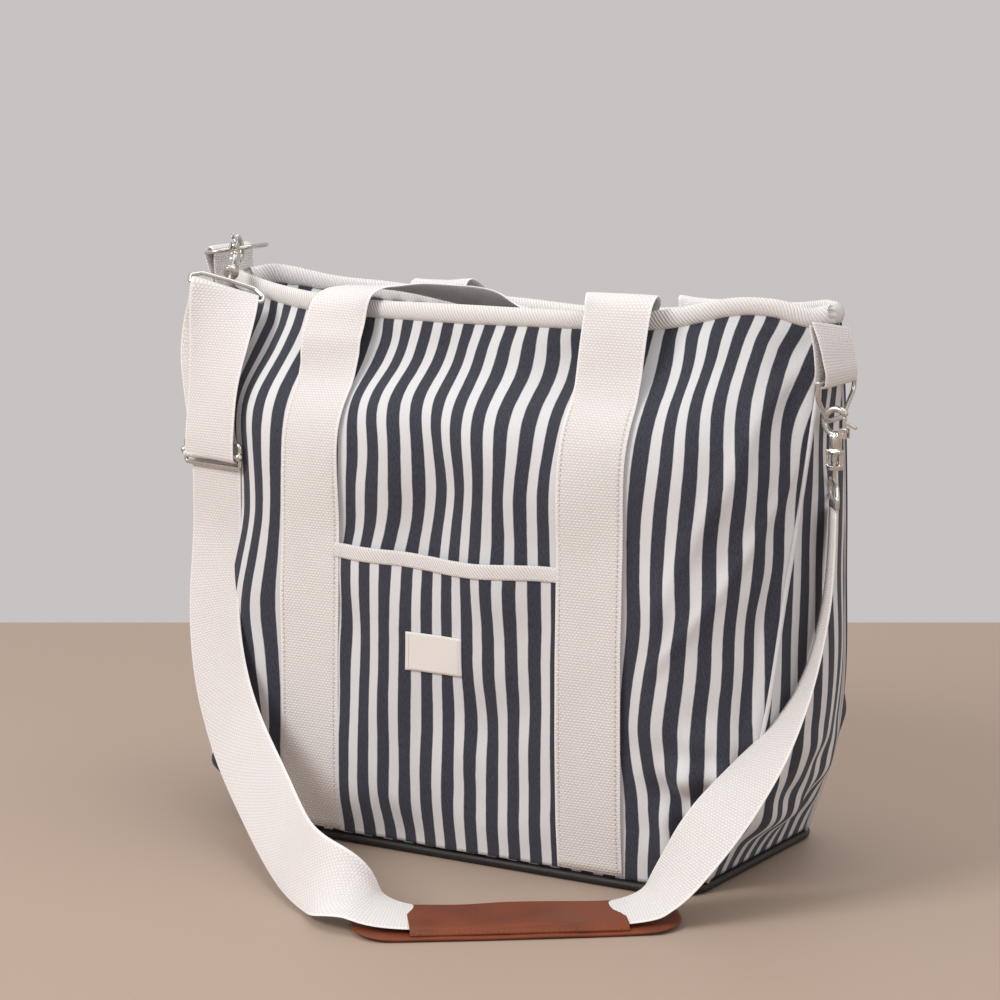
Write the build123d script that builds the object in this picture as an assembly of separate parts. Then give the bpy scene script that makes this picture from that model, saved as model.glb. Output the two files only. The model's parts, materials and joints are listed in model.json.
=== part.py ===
"""Striped canvas weekender bag with webbing handles and a clip-on shoulder strap.

Frame: +X is the bag's right seen from its front, the front faces -Y, +Z is up.
The origin is the middle of the base, on the surface that the bag stands on.
"""
from build123d import *
import os
from math import cos, sin, radians

# ---- driving dimensions, mm -------------------------------------------------
BASE_X, BASE_Y, BASE_R = 384.0, 204.0, 30.0      # base outline over the piping
CANVAS, LINING = 1.6, 1.0                        # thickness of outer cloth and lining
WEB, WEB_T = 50.0, 2.0                           # cotton webbing width and thickness
LEG_X = 113.0                                    # middle of each handle leg
WIRE = 3.2                                       # bent wire of rings and loops
RIM_Z, RIM_H, RIM_T = 372.0, 12.0, 8.0           # padded binding round the mouth
EAR = 9.0                                        # how far the binding rises at both ends
STITCH_Z = 334.0                                 # handles are sewn down up to here
POCKET_W, POCKET_Z0, POCKET_Z1, POCKET_GAP = 172.0, 9.0, 215.0, 6.0
ZIP_Z, ZIP_HALF = 360.0, 205.0                   # zip plane and half its length
SLIDER_X = 180.0                                 # zip slider when the zip is closed
RING_DEEP = 27.0                                 # D-ring from bar to bow, middle to middle
EYE_R, EYE_WIRE = 8.6, 4.4                       # claw of the hook: middle radius and thickness
GATE_AT = (6.4, -5.8)                            # gate pin from the middle of the eye
LOOP_LOW = -54.0                                 # strap bar below the middle of the eye
WIRE_IN_EYE = (-1.2, 1.6)                        # where the ring's wire lies in the eye
FOLD_REACH = 3.5                                 # tab webbing's middle from the ring's bar
PAD_AT, PAD_TURN = (116.0, -203.0), 36.5         # middle of the shoulder pad and its turn, degrees
PAD_L, PAD_W, SLEEVE_L, SLEEVE_W = 216.0, 70.0, 142.0, 60.0
SLIDER_AT = Vector(-208, -87.2, 268)             # middle of the strap slider
SLIDER_ACROSS = Vector(0.98, -0.19, 0)           # direction of the slider's bars

SEAM_SHARE, END_SHARE = 0.4, 1.6                 # how far corners and ends move in per mm of inset

# outline of the outer cloth: height, front half width, half depth, seam x, seam y
LEVELS = [
    (6.6, 164.0, 99.0, 189.0, 74.0),
    (70.0, 166.0, 102.0, 213.0, 68.0),
    (220.0, 156.0, 102.0, 232.0, 42.0),
    (310.0, 146.0, 93.0, 237.0, 24.0),
    (370.0, 112.0, 56.0, 239.0, 8.0),
]


def at_level(z):
    """Outline values at a height, straight between the listed levels."""
    z = min(max(z, LEVELS[0][0]), LEVELS[-1][0])
    for low, high in zip(LEVELS, LEVELS[1:]):
        if z <= high[0]:
            share = (z - low[0]) / (high[0] - low[0])
            return [p + share * (q - p) for p, q in zip(low, high)]
    return list(LEVELS[-1])


def outline(level, inset):
    """Eight corners of the body's plan, anticlockwise from the front left seam."""
    _, a, b, c, d = level
    a, b, c, d = a - inset * SEAM_SHARE, b - inset, c - inset * END_SHARE, d - inset * SEAM_SHARE
    return [(-c, -d), (-a, -b), (a, -b), (c, -d), (c, d), (a, b), (-a, b), (-c, d)]


def wire_at(points, z):
    """Closed flat outline at a height."""
    return Wire.make_polygon([Vector(x, y, z) for x, y in points], close=True)


def loft_levels(plan, levels):
    """Straight-sided solid through one plan per level."""
    return Solid.make_loft([wire_at(plan(level), level[0]) for level in levels], True)


def wall(corners, inset, thickness, levels=LEVELS):
    """Cloth wall between some corners of the outline."""
    def plan(level):
        outer = outline(level, inset)
        inner = outline(level, inset + thickness)
        return [outer[i] for i in corners] + [inner[i] for i in reversed(corners)]
    return loft_levels(plan, levels)


def triangle(a, b, c):
    """Flat three-cornered face."""
    return Face(Wire.make_polygon([a, b, c], close=True))


def faceted(sections):
    """Closed solid of flat triangles through four-cornered sections.

    The two broad faces are cut along the same diagonal, so a twisted stretch keeps its thickness.
    """
    top = 2
    faces = []
    for low, high in zip(sections, sections[1:]):
        for i in range(4):
            j = (i + 1) % 4
            if i == top:
                faces += [triangle(low[i], low[j], high[i]), triangle(low[j], high[j], high[i])]
            else:
                faces += [triangle(low[i], low[j], high[j]), triangle(low[i], high[j], high[i])]
    first, last = sections[0], sections[-1]
    faces += [triangle(first[2], first[1], first[0]), triangle(first[3], first[2], first[0])]
    faces += [triangle(last[0], last[1], last[2]), triangle(last[0], last[2], last[3])]
    return Solid(Shell(faces))


def ribbon(centres, widths, normals, width=WEB, thickness=WEB_T):
    """Flat webbing: a ruled solid through cross sections along its middle line."""
    sections = []
    for centre, across, normal in zip(centres, widths, normals):
        middle = Vector(*centre)
        side = Vector(*across).normalized() * (width / 2)
        up = Vector(*normal).normalized() * (thickness / 2)
        sections.append([middle - side - up, middle + side - up, middle + side + up, middle - side + up])
    return faceted(sections)


def profile_ribbon(profile, x_middle, width=WEB, thickness=WEB_T):
    """Webbing of constant width along X that follows points (y, z)."""
    face = make_face(offset_strip(profile, thickness))
    plane = Plane(origin=(x_middle - width / 2, 0, 0), x_dir=(0, 1, 0), z_dir=(1, 0, 0))
    return extrude(plane * face, amount=width)


def offset_strip(profile, thickness):
    """Closed strip: the profile and the same profile moved out by the thickness."""
    outer = []
    for i, (y, z) in enumerate(profile):
        before = profile[max(i - 1, 0)]
        after = profile[min(i + 1, len(profile) - 1)]
        run = Vector(after[0] - before[0], after[1] - before[1]).normalized()
        outer.append((y - run.Y * thickness, z + run.X * thickness))
    return Polyline(*profile, *reversed(outer), close=True)


def tube(points, radii, diameter, closed=False):
    """Bent wire along straight runs and arcs."""
    path = FilletPolyline(*points, radius=radii, close=closed)
    start = path ^ 0
    return sweep(start * Circle(diameter / 2), path=path)


def save(name, shape):
    """One STEP file per sub-part."""
    export_step(shape, f"parts/{name}.step")


# ---- body -------------------------------------------------------------------
def base_outline(inset):
    """Rounded base rectangle."""
    return RectangleRounded(BASE_X - 2 * inset, BASE_Y - 2 * inset, BASE_R - inset)


def make_body():
    """Cloth walls, base, lining and stiffener."""
    save("front_panel", wall([0, 1, 2, 3], 0, CANVAS))
    save("back_panel", wall([4, 5, 6, 7], 0, CANVAS))
    save("right_gusset", wall([3, 4], 0, CANVAS))
    save("left_gusset", wall([7, 0], 0, CANVAS))
    save("base_panel", extrude(base_outline(6.4), amount=2.0))
    cord_path = Pos(0, 0, 3.2) * base_outline(3.0).wire()
    start = cord_path ^ 0
    save("base_piping", sweep(start * Circle(3.0), path=cord_path))
    save("base_board", Pos(0, 0, 2.2) * extrude(base_outline(22), amount=2.4))
    shell = loft_levels(lambda lv: outline(lv, 1.8), LEVELS)
    hollow = loft_levels(lambda lv: outline(lv, 1.8 + LINING), LEVELS)
    floor = extrude(Pos(0, 0, 6.6) * make_face(wire_at(outline(LEVELS[0], 1.8), 0)), amount=1.0)
    save("lining", (shell - hollow) + floor)


def rim_section(x, y, z, thickness, height):
    """Upright rectangle across the binding at one place round the mouth."""
    out = Vector(0, y, 0).normalized() if abs(y) > 1 else Vector(0, 1, 0)
    middle = Vector(x, y, z)
    side = out * (thickness / 2)
    up = Vector(0, 0, height / 2)
    return Wire.make_polygon([middle - side - up, middle + side - up, middle + side + up,
                              middle - side + up], close=True)


def make_rim():
    """Padded binding round the mouth: two bowed halves that meet at the ends."""
    places = [(-243, 8.2, EAR), (-200, 26, EAR * 0.6), (-112, 58, 0), (112, 58, 0),
              (200, 26, EAR * 0.6), (243, 8.2, EAR)]
    halves = []
    for side in (-1, 1):
        sections = [rim_section(x, side * y, RIM_Z + RIM_H / 2 + rise, RIM_T, RIM_H)
                    for x, y, rise in places]
        halves.append(Solid.make_loft(sections, True))
    ends = [Pos(x, 0, RIM_Z + RIM_H / 2 + EAR) * Box(7, 25, RIM_H) for x in (-243, 243)]
    save("rim_binding", halves[0].fuse(halves[1]).fuse(*ends))


def make_top():
    """Recessed top panels with the zip between them."""
    for name, side in (("top_panel_front", -1), ("top_panel_back", 1)):
        inner, outer, long, short = 9.0, 49.0, 195.0, 110.0
        plan = [(-long, inner), (long, inner), (long, inner + 12), (short, outer), (-short, outer),
                (-long, inner + 12)]
        face = make_face(Polyline(*[(x, side * y) for x, y in plan], close=True))
        save(name, extrude(Pos(0, 0, ZIP_Z) * face, amount=1.6))
    for name, side in (("zip_tape_front", -1), ("zip_tape_back", 1)):
        save(name, Pos(0, side * 10.4, ZIP_Z - 0.6) * Box(2 * ZIP_HALF, 14.0, 0.8))
    for name, side in (("zip_coil_front", -1), ("zip_coil_back", 1)):
        save(name, Pos(0, side * 1.95, ZIP_Z - 0.2) * Box(2 * ZIP_HALF - 8, 2.3, 2.2))
    stops = [Pos(x, 0, ZIP_Z - 0.2) * Box(3, 6.2, 3.0) for x in (-ZIP_HALF + 2.2, ZIP_HALF - 2.2)]
    save("zip_end_stops", Compound(stops))


def make_zip_slider():
    """Slider: two plates joined by a thin wedge that runs between the coils."""
    top = Pos(SLIDER_X, 0, ZIP_Z + 2.2) * Box(14, 9, 1.6)
    bottom = Pos(SLIDER_X, 0, ZIP_Z - 2.4) * Box(14, 9, 1.2)
    wedge = Pos(SLIDER_X + 4, 0, ZIP_Z) * Box(4, 1.0, 4.8)
    ears = [Pos(SLIDER_X + x, 0, ZIP_Z + 4.4) * Box(1.6, 3.0, 3.6) for x in (-5.0, 1.0)]
    bar = Pos(SLIDER_X - 2, 0, ZIP_Z + 5.7) * Box(7.6, 3.0, 1.0)
    save("zip_slider", top.fuse(bottom).fuse(wedge).fuse(*ears).fuse(bar))
    plate = Pos(SLIDER_X - 16, 0, ZIP_Z + 4.3) * Box(29, 7, 1.2)
    window = Pos(SLIDER_X - 4.7, 0, ZIP_Z + 4.3) * Box(4.4, 4.2, 4)
    eye = Pos(SLIDER_X - 26, 0, ZIP_Z + 4.3) * Box(3, 3, 4)
    save("zip_pull", plate - window - eye)


# ---- pocket -----------------------------------------------------------------
def make_pocket():
    """Patch pocket between the handle legs, open at the top, with a bound edge."""
    levels = [at_level(z) for z in (POCKET_Z0, 70.0, POCKET_Z1)]
    half = POCKET_W / 2

    def tray(depth, inset, low):
        def plan(level):
            y = level[2]
            return [(-half + inset, -y - low), (half - inset, -y - low),
                    (half - inset, -y - depth), (-half + inset, -y - depth)]
        return plan

    outer = loft_levels(tray(POCKET_GAP + 1.4, 0, 0.1), levels)
    cut_levels = [at_level(POCKET_Z0 + 1.4), levels[1], at_level(POCKET_Z1)]
    cut_levels[2][0] = POCKET_Z1 + 1
    inner = loft_levels(tray(POCKET_GAP, 1.4, 0.1), cut_levels)
    save("front_pocket", outer - inner)
    y = -(102 + POCKET_GAP + 0.7)
    channel = Pos(0, y, POCKET_Z1 - 3.6) * Box(POCKET_W - 3.2, 3.6, 11.0)
    groove = Pos(0, y, POCKET_Z1 - 4.6) * Box(POCKET_W + 2, 1.8, 9.4)
    save("pocket_binding", channel - groove)
    save("label", Pos(-7, -(102 + POCKET_GAP + 1.4 + 0.5), 147) * Box(46, 0.8, 27))


# ---- handles ----------------------------------------------------------------
def leg_profile():
    """Side view of a sewn leg and its riser to the mouth, as (distance out, z)."""
    gap = 0.2
    points = [(-(at_level(z)[2] + gap), z) for z in (9.0, 70.0, 220.0, 310.0, STITCH_Z)]
    return points + [(-67.5, RIM_Z - 1), (-66.0, RIM_Z + RIM_H)]


def mirrored_y(shape):
    """The same shape on the other side of the bag."""
    return mirror(shape, about=Plane.XZ)


def make_handles():
    """Four sewn legs and two free loops that hinge at the mouth."""
    for side, word in ((-1, "left"), (1, "right")):
        leg = profile_ribbon(leg_profile(), side * LEG_X)
        save(f"front_handle_leg_{word}", leg)
        save(f"back_handle_leg_{word}", mirrored_y(leg))
    # front loop turns over the rim, leans on edge and lies flat on the top panels inside the mouth
    centres = [(-113, -63.5, 388.5), (-106, -48, 392.5), (-86, -18, 389), (-54, 6, 383),
               (-18, 14, 380.5), (22, 14, 372), (58, 9, 372), (86, -13, 378), (105, -45, 392),
               (113, -63.5, 388.5)]
    widths = [(1, 0, 0), (1, -0.25, 0.03), (0.75, -0.62, 0.12), (0.3, -0.85, 0.4),
              (0, -0.9, 0.42), (0, -1, 0.06), (-0.35, -0.93, 0), (-0.75, -0.66, 0), (-1, -0.2, 0),
              (-1, 0, 0)]
    save("front_handle_loop", loop_ribbon(centres, widths))
    # back loop folds straight down and hangs behind the bag
    centres = [(-113, 66, 389), (-112.5, 72.5, 389.5), (-107, 87, 379), (-95, 105, 346),
               (-78, 115, 300), (-50, 120, 262), (0, 121, 246),
               (50, 120, 262), (78, 115, 300), (95, 105, 346), (107, 87, 379), (112.5, 72.5, 389.5),
               (113, 66, 389)]
    widths = [(1, 0, 0), (1, 0, 0), (1, 0, -0.1), (1, 0, 0.25), (0.9, 0, 0.45),
              (0.5, 0, 0.85), (0, 0, 1),
              (-0.5, 0, 0.85), (-0.9, 0, 0.45), (-1, 0, 0.25), (-1, 0, -0.1), (-1, 0, 0), (-1, 0, 0)]
    save("back_handle_loop", loop_ribbon(centres, widths))


def loop_ribbon(centres, widths):
    """Webbing loop: normals come from the run and the width directions."""
    normals = []
    for i in range(len(centres)):
        before = Vector(*centres[max(i - 1, 0)])
        after = Vector(*centres[min(i + 1, len(centres) - 1)])
        run = (after - before).normalized()
        normals.append(tuple(run.cross(Vector(*widths[i]).normalized())))
    return ribbon(centres, widths, normals, thickness=WEB_T)


# ---- hardware ---------------------------------------------------------------
def local_tube(points, radii, diameter=WIRE, closed=False):
    """Bent wire drawn in its own XY plane."""
    return tube([(x, y, 0) for x, y in points], radii, diameter, closed)


def d_ring():
    """D-ring in its XY plane: bar along Y at x=0, bow towards +X."""
    half = WEB / 2 + 3.0
    bow = local_tube([(0, half), (10, half), (RING_DEEP, 12), (RING_DEEP, -12), (10, -half), (0, -half)],
                     [9, 11, 11, 9])
    bar = Rot(90, 0, 0) * Cylinder(WIRE / 2, 2 * half)
    return bow.fuse(bar).fuse(Pos(0, half, 0) * Sphere(WIRE / 2)).fuse(Pos(0, -half, 0) * Sphere(WIRE / 2))


def hook_body():
    """Claw, shank and swivel cage, drawn in XY with the strap end towards -Y."""
    start, sweep_angle = 45.0, 268.0
    arc = CenterArc((0, 0, 0), EYE_R, start, sweep_angle)
    claw = sweep((arc ^ 0) * Circle(EYE_WIRE / 2), path=arc)
    tip = Pos(EYE_R * cos(radians(start)), EYE_R * sin(radians(start)), 0) * Sphere(EYE_WIRE / 2)
    shank = Pos(0, -14.0, 0) * Box(7, 10, 5.4)
    cheeks = [Pos(GATE_AT[0] - 0.4, GATE_AT[1] - 1.4, z) * Box(6.0, 7.0, 1.4) for z in (-2.3, 2.3)]
    fork = Pos(GATE_AT[0], GATE_AT[1], 0) * Cylinder(3.3, 3.2)
    top = Pos(0, -20.0, 0) * Box(11, 2.6, 6.0)
    arms = [Pos(x, -25.0, 0) * Box(1.6, 9.0, 5.0) for x in (-4.7, 4.7)]
    collar = Pos(0, -30.4, 0) * Rot(90, 0, 0) * Cylinder(5.6, 3.0)
    bore = Pos(0, -30.4, 0) * Rot(90, 0, 0) * Cylinder(1.75, 4.0)
    body = claw.fuse(tip, shank, *cheeks, top, *arms)
    body = body - fork
    return body.fuse(collar) - bore - Pos(*GATE_AT, 0) * Cylinder(1.0, 12)


def hook_gate():
    """Gate bar with its pin barrel and thumb lever."""
    end = (5.7, 4.4)
    run = Vector(end[0] - GATE_AT[0], end[1] - GATE_AT[1]).length
    bar = Pos((end[0] + GATE_AT[0]) / 2, (end[1] + GATE_AT[1]) / 2, 0) * Box(2.4, run - 1.6, 2.2)
    barrel = Pos(*GATE_AT, 0) * Cylinder(2.3, 1.8)
    lever = Pos(GATE_AT[0] + 4.6, GATE_AT[1] + 4.0, 0) * Rot(0, 0, -20) * Box(8.0, 2.0, 2.2)
    return bar.fuse(barrel, lever) - Pos(*GATE_AT, 0) * Cylinder(1.06, 8)


def gate_pin():
    """Pin riveted through both cheeks."""
    return Pos(*GATE_AT, 0) * Cylinder(1.0, 6.0)


def swivel_loop():
    """Wire loop for the webbing with the headed swivel stud."""
    half = WEB / 2 + 2.4
    points = [(0, LOOP_LOW + 14), (20, LOOP_LOW + 13), (half, LOOP_LOW + 7), (half, LOOP_LOW),
              (-half, LOOP_LOW), (-half, LOOP_LOW + 7), (-20, LOOP_LOW + 13)]
    loop = local_tube(points, [20, 5, 3.2, 2.8, 2.8, 3.2, 5], closed=True)
    stud = Pos(0, -32.2, 0) * Rot(90, 0, 0) * Cylinder(1.4, 17.0)
    head = Pos(0, -24.6, 0) * Rot(90, 0, 0) * Cylinder(2.9, 3.0)
    return stud.fuse(head).fuse(loop)


# each end's ring bar, bow direction, wire in the eye (in the ring's plane), eye axis, hook's
# length direction and the direction of the strap bar
RIGHT = {"bar": (252.5, -20.0, 346.0), "bow": (-0.03, 0, -1), "wire": (RING_DEEP, 0),
         "across": (0, -1, 0), "up": (0.02, 0, 1), "loop_x": (0.5, -0.86, 0)}
LEFT = {"bar": (-254.8, 0.0, 405.7), "bow": (0.98, 0, 0.16), "wire": (21.7, -17.0),
        "across": (-0.93, -0.33, -0.14), "up": (-0.36, 0.78, 0.5), "loop_x": (0.8, 0.5, -0.33)}


def ring_plane(end):
    """Ring's own plane: X along the bow, Y along the bar."""
    bow = Vector(*end["bow"]).normalized()
    return Plane(origin=end["bar"], x_dir=bow, z_dir=bow.cross(Vector(0, 1, 0)))


def hook_plane(end):
    """Hook's own plane: Y along its length, Z through the eye, origin in the eye's middle."""
    across = Vector(*end["across"]).normalized()
    up = Vector(*end["up"])
    up = (up - across * up.dot(across)).normalized()
    side = up.cross(across)
    ring = ring_plane(end)
    at = ring.from_local_coords(Vector(*end["wire"], 0))
    origin = at - side * WIRE_IN_EYE[0] - up * WIRE_IN_EYE[1]
    return Plane(origin=origin, x_dir=side, z_dir=across)


def loop_plane(end):
    """The swivel loop's plane: the hook's plane turned about the hook's length."""
    hook = hook_plane(end)
    up = hook.y_dir
    across = Vector(*end["loop_x"])
    across = (across - up * across.dot(up)).normalized()
    return Plane(origin=hook.origin, x_dir=across, z_dir=across.cross(up))


def fold_points(bar, first, last):
    """Points of a fold round a ring's bar, in the XZ plane, from one angle to another."""
    steps = 5
    angles = [radians(first + (last - first) * i / steps) for i in range(steps + 1)]
    return [(bar[0] + FOLD_REACH * cos(t), bar[2] + FOLD_REACH * sin(t)) for t in angles]


def make_hardware():
    """Both ends' tab, D-ring and swivel snap hook."""
    for end, word in ((LEFT, "left"), (RIGHT, "right")):
        save(f"{word}_d_ring", ring_plane(end).location * d_ring())
        hook = hook_plane(end).location
        save(f"{word}_hook_body", hook * hook_body())
        save(f"{word}_hook_gate", hook * hook_gate())
        save(f"{word}_gate_pin", hook * gate_pin())
        save(f"{word}_swivel_loop", loop_plane(end).location * swivel_loop())
    y_dir = (0, 1, 0)
    # tabs: webbing folded round the ring's bar, both plies sewn to the bag under the binding
    left = [(-244.2, 346), (-251.9, 360), (-253.4, 378), (-256.0, 392)]
    left += fold_points(LEFT["bar"], 205, -35) + [(-252.0, 388)]
    right = [(247.6, 377.5), (253.8, 362)] + fold_points(RIGHT["bar"], 20, -200) + [(249.2, 362), (244.2, 377.5)]
    for points, word, end in ((left, "left", LEFT), (right, "right", RIGHT)):
        centres = [(x, end["bar"][1], z) for x, z in points]
        normals = []
        for i in range(len(points)):
            before, after = points[max(i - 1, 0)], points[min(i + 1, len(points) - 1)]
            run = Vector(after[0] - before[0], 0, after[1] - before[1]).normalized()
            normals.append(tuple(run.cross(Vector(*y_dir))))
        save(f"{word}_tab", ribbon(centres, [y_dir] * len(points), normals, WEB - 0.6, 1.6))


# ---- shoulder strap ---------------------------------------------------------
# middle line of the strap and the direction of its width, right hook to slider
ROUTE = [
    ((251.5, -20, 254.0), (0.50, -0.86, 0)),
    ((252.5, -23, 222), (0.50, -0.86, 0)),
    ((252.5, -31, 186), (0.50, -0.86, 0.02)),
    ((250, -46, 150), (0.50, -0.82, 0.05)),
    ((243, -70, 118), (0.52, -0.74, -0.12)),
    ((231, -98, 88), (0.58, -0.62, -0.35)),
    ((214, -126, 55), (0.62, -0.50, -0.52)),
    ((198, -142, 24), (0.60, -0.62, -0.40)),
    ((183, -153.4, 4.8), (0.59, -0.80, 0)),
    ((116, -203, 4.4), (0.595, -0.804, 0)),
    ((49, -252.6, 4.8), (0.59, -0.80, 0)),
    ((14, -258, 22), (0.45, -0.65, -0.60)),
    ((-26, -240, 26), (-0.10, -0.40, -0.90)),
    ((-66, -206, 32), (-0.42, -0.25, -0.87)),
    ((-112, -166, 48), (-0.72, -0.10, -0.68)),
    ((-158, -133, 76), (-0.90, 0.05, -0.42)),
    ((-187, -113, 114), (-0.97, 0.10, -0.20)),
    ((-203, -97, 160), (-0.98, 0.16, -0.06)),
    ((-208, -83.5, 214), (-0.98, 0.19, 0)),
    ((-208, -83.2, 262), (-0.98, 0.19, 0)),
]
# doubled stretch from the slider up over the left swivel loop and back to the slider's bar
ADJUSTER = [
    ((-208.5, -82.6, 264), (-0.98, 0.19, 0)),
    ((-215, -77, 285), (-0.98, 0.19, 0)),
    ((-229, -65, 320), (-0.97, 0.22, 0.05)),
    ((-234, -56, 350), (-0.95, 0.10, 0.15)),
    ((-221, -55, 372), (-0.85, -0.35, 0.28)),
    ((-216.5, -57.5, 383.0), (-0.78, -0.55, 0.30)),
    ((-213.3, -61.6, 386.4), (-0.78, -0.55, 0.30)),
    ((-211.2, -66.0, 384.0), (-0.80, -0.50, 0.28)),
    ((-209.0, -74.0, 360), (-0.95, -0.05, 0.10)),
    ((-208, -83, 320), (-0.98, 0.19, 0)),
    ((-208, -91, 274), (-0.98, 0.19, 0)),
]


def strap_piece(points):
    """Ribbon through (middle, width direction) pairs."""
    return loop_ribbon([p for p, _ in points], [w for _, w in points])


def make_strap():
    """Shoulder strap, its slider and the leather shoulder pad."""
    save("shoulder_strap", strap_piece(ROUTE))
    save("strap_adjuster_loop", strap_piece(ADJUSTER))
    plane = Plane(origin=SLIDER_AT, x_dir=SLIDER_ACROSS, z_dir=SLIDER_ACROSS.cross(Vector(0, 0, 1)))
    half, high = WEB / 2 + 3.4, 8.5
    frame_points = [(-half, -high), (half, -high), (half, high), (-half, high)]
    slider = local_tube(frame_points, [2.4] * 4, closed=True)
    bar = Pos(0, 0, 2.6) * Rot(0, 90, 0) * Cylinder(WIRE / 2, 2 * half)
    balls = [Pos(x, 0, 1.2) * Sphere(3.1) for x in (-half, half)]
    save("strap_slider", plane.location * slider.fuse(bar, *balls))
    pad = Plane(origin=(*PAD_AT, 0), x_dir=(cos(radians(PAD_TURN)), sin(radians(PAD_TURN)), 0)).location
    base = extrude(RectangleRounded(PAD_L, PAD_W, PAD_W / 2 - 1), amount=2.6)
    save("shoulder_pad_base", pad * base)
    cover = Pos(0, 0, 5.2) * Box(SLEEVE_L, SLEEVE_W + 4, 5.0)
    hole = Pos(0, 0, 4.4) * Box(SLEEVE_L + 2, SLEEVE_W - 4, 4.0)
    save("shoulder_pad_sleeve", pad * (cover - hole))


def main():
    """Write every sub-part."""
    os.makedirs("parts", exist_ok=True)
    make_body()
    make_rim()
    make_top()
    make_zip_slider()
    make_pocket()
    make_handles()
    make_hardware()
    make_strap()


main()
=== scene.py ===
"""Looks of the striped weekender bag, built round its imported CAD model.

Shapes are worked out in millimetres in the CAD frame and turned into metres by mesh().
"""
import bpy
import json
import math
import numpy as np
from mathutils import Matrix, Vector


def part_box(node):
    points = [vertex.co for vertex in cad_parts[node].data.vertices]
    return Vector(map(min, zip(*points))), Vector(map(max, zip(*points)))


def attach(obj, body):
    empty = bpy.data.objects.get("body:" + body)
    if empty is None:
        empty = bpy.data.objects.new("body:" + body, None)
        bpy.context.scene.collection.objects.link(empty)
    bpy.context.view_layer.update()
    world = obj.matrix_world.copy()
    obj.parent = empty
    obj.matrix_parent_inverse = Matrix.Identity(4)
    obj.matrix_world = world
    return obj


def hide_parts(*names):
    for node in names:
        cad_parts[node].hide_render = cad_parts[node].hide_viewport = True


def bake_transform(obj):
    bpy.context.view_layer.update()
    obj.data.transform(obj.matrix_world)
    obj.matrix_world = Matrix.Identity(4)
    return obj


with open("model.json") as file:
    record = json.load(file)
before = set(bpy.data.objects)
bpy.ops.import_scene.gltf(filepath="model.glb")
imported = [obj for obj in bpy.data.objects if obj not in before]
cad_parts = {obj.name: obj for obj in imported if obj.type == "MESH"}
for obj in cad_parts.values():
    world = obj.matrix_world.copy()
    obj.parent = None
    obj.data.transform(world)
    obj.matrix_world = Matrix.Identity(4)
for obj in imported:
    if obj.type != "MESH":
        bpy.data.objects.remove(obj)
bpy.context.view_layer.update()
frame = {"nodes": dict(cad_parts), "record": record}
MM = 0.001

# ---- driving sizes, mm ----
WEB = 50.0
LEG_X = 113.0
STITCH_Z = 334.0
STRIPE = 17.0
LEVEL_Z = [6.6, 70.0, 220.0, 310.0, 340.0, 372.0]
HALF_DEPTH = [99.0, 103.0, 102.5, 94.5, 75.5, 56.0]
SEAM_X = [189.0, 213.0, 231.0, 237.0, 238.5, 239.5]
SEAM_Y = [76.0, 68.0, 43.0, 24.0, 17.0, 8.0]
BOXY = [13.0, 9.0, 6.0, 4.5, 3.6, 2.7]
ROUND = [0.5, 0.55, 0.68, 0.8, 0.9, 1.05]
PANEL_THICK, TAPE_THICK, STRAP_THICK = 1.3, 2.2, 2.0
EDGE_POWER, FACE_POWER = 7.0, 2.2    # how square a webbing's section is, across and in thickness


# ---- small maths ----
def smooth_curve(xs, ys, at):
    """Smooth curve through points: cubic pieces with averaged slopes."""
    xs, ys, at = np.asarray(xs, float), np.asarray(ys, float), np.asarray(at, float)
    slope = np.gradient(ys, xs)
    i = np.clip(np.searchsorted(xs, at, side="right") - 1, 0, len(xs) - 2)
    h = xs[i + 1] - xs[i]
    t = np.clip((at - xs[i]) / h, 0, 1)
    a = 2 * t**3 - 3 * t**2 + 1
    b = t**3 - 2 * t**2 + t
    c = -2 * t**3 + 3 * t**2
    d = t**3 - t**2
    return a * ys[i] + b * h * slope[i] + c * ys[i + 1] + d * h * slope[i + 1]


def ramp(value, low, high):
    """0 below low, 1 above high, smooth between."""
    t = np.clip((np.asarray(value, float) - low) / (high - low), 0, 1)
    return t * t * (3 - 2 * t)


def bump_at(value, middle, reach):
    """Bell that is 1 at the middle and fades over the reach."""
    return np.exp(-((value - middle) / reach) ** 2)


class Noise:
    """Smooth repeatable noise in two directions from a sum of random waves."""

    def __init__(self, seed, scale_u, scale_v, waves=14):
        own = np.random.default_rng(seed)
        self.ku = own.normal(0, 1.0 / scale_u, waves)
        self.kv = own.normal(0, 1.0 / scale_v, waves)
        self.phase = own.uniform(0, 2 * math.pi, waves)
        self.size = math.sqrt(2.0 / waves)

    def __call__(self, u, v):
        total = np.zeros(np.broadcast(u, v).shape)
        for ku, kv, phase in zip(self.ku, self.kv, self.phase):
            total += np.sin(ku * u + kv * v + phase)
        return total * self.size


def unit(v):
    """Vectors of length one along the last axis."""
    v = np.asarray(v, float)
    return v / np.maximum(np.linalg.norm(v, axis=-1, keepdims=True), 1e-9)


def travelled(points):
    """Length along a line of points up to each of them."""
    return np.concatenate([[0], np.cumsum(np.linalg.norm(np.diff(points, axis=0), axis=1))])


def squared(wave, power):
    """A cosine or sine pushed towards a square corner, for rounded outlines."""
    return np.sign(wave) * np.abs(wave) ** (2 / power)


def mirrored(half):
    """Points of one half followed by their mirror image in X, with one middle point."""
    return half + [(-x, y, z) for x, y, z in half[-2::-1]]


# ---- objects and meshes ----
def add_object(name, data):
    """New object in the scene."""
    obj = bpy.data.objects.new(name, data)
    bpy.context.scene.collection.objects.link(obj)
    return obj


def modify(obj, kind, **settings):
    """New modifier with its settings."""
    modifier = obj.modifiers.new(kind.lower(), kind)
    for key, value in settings.items():
        setattr(modifier, key, value)


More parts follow.
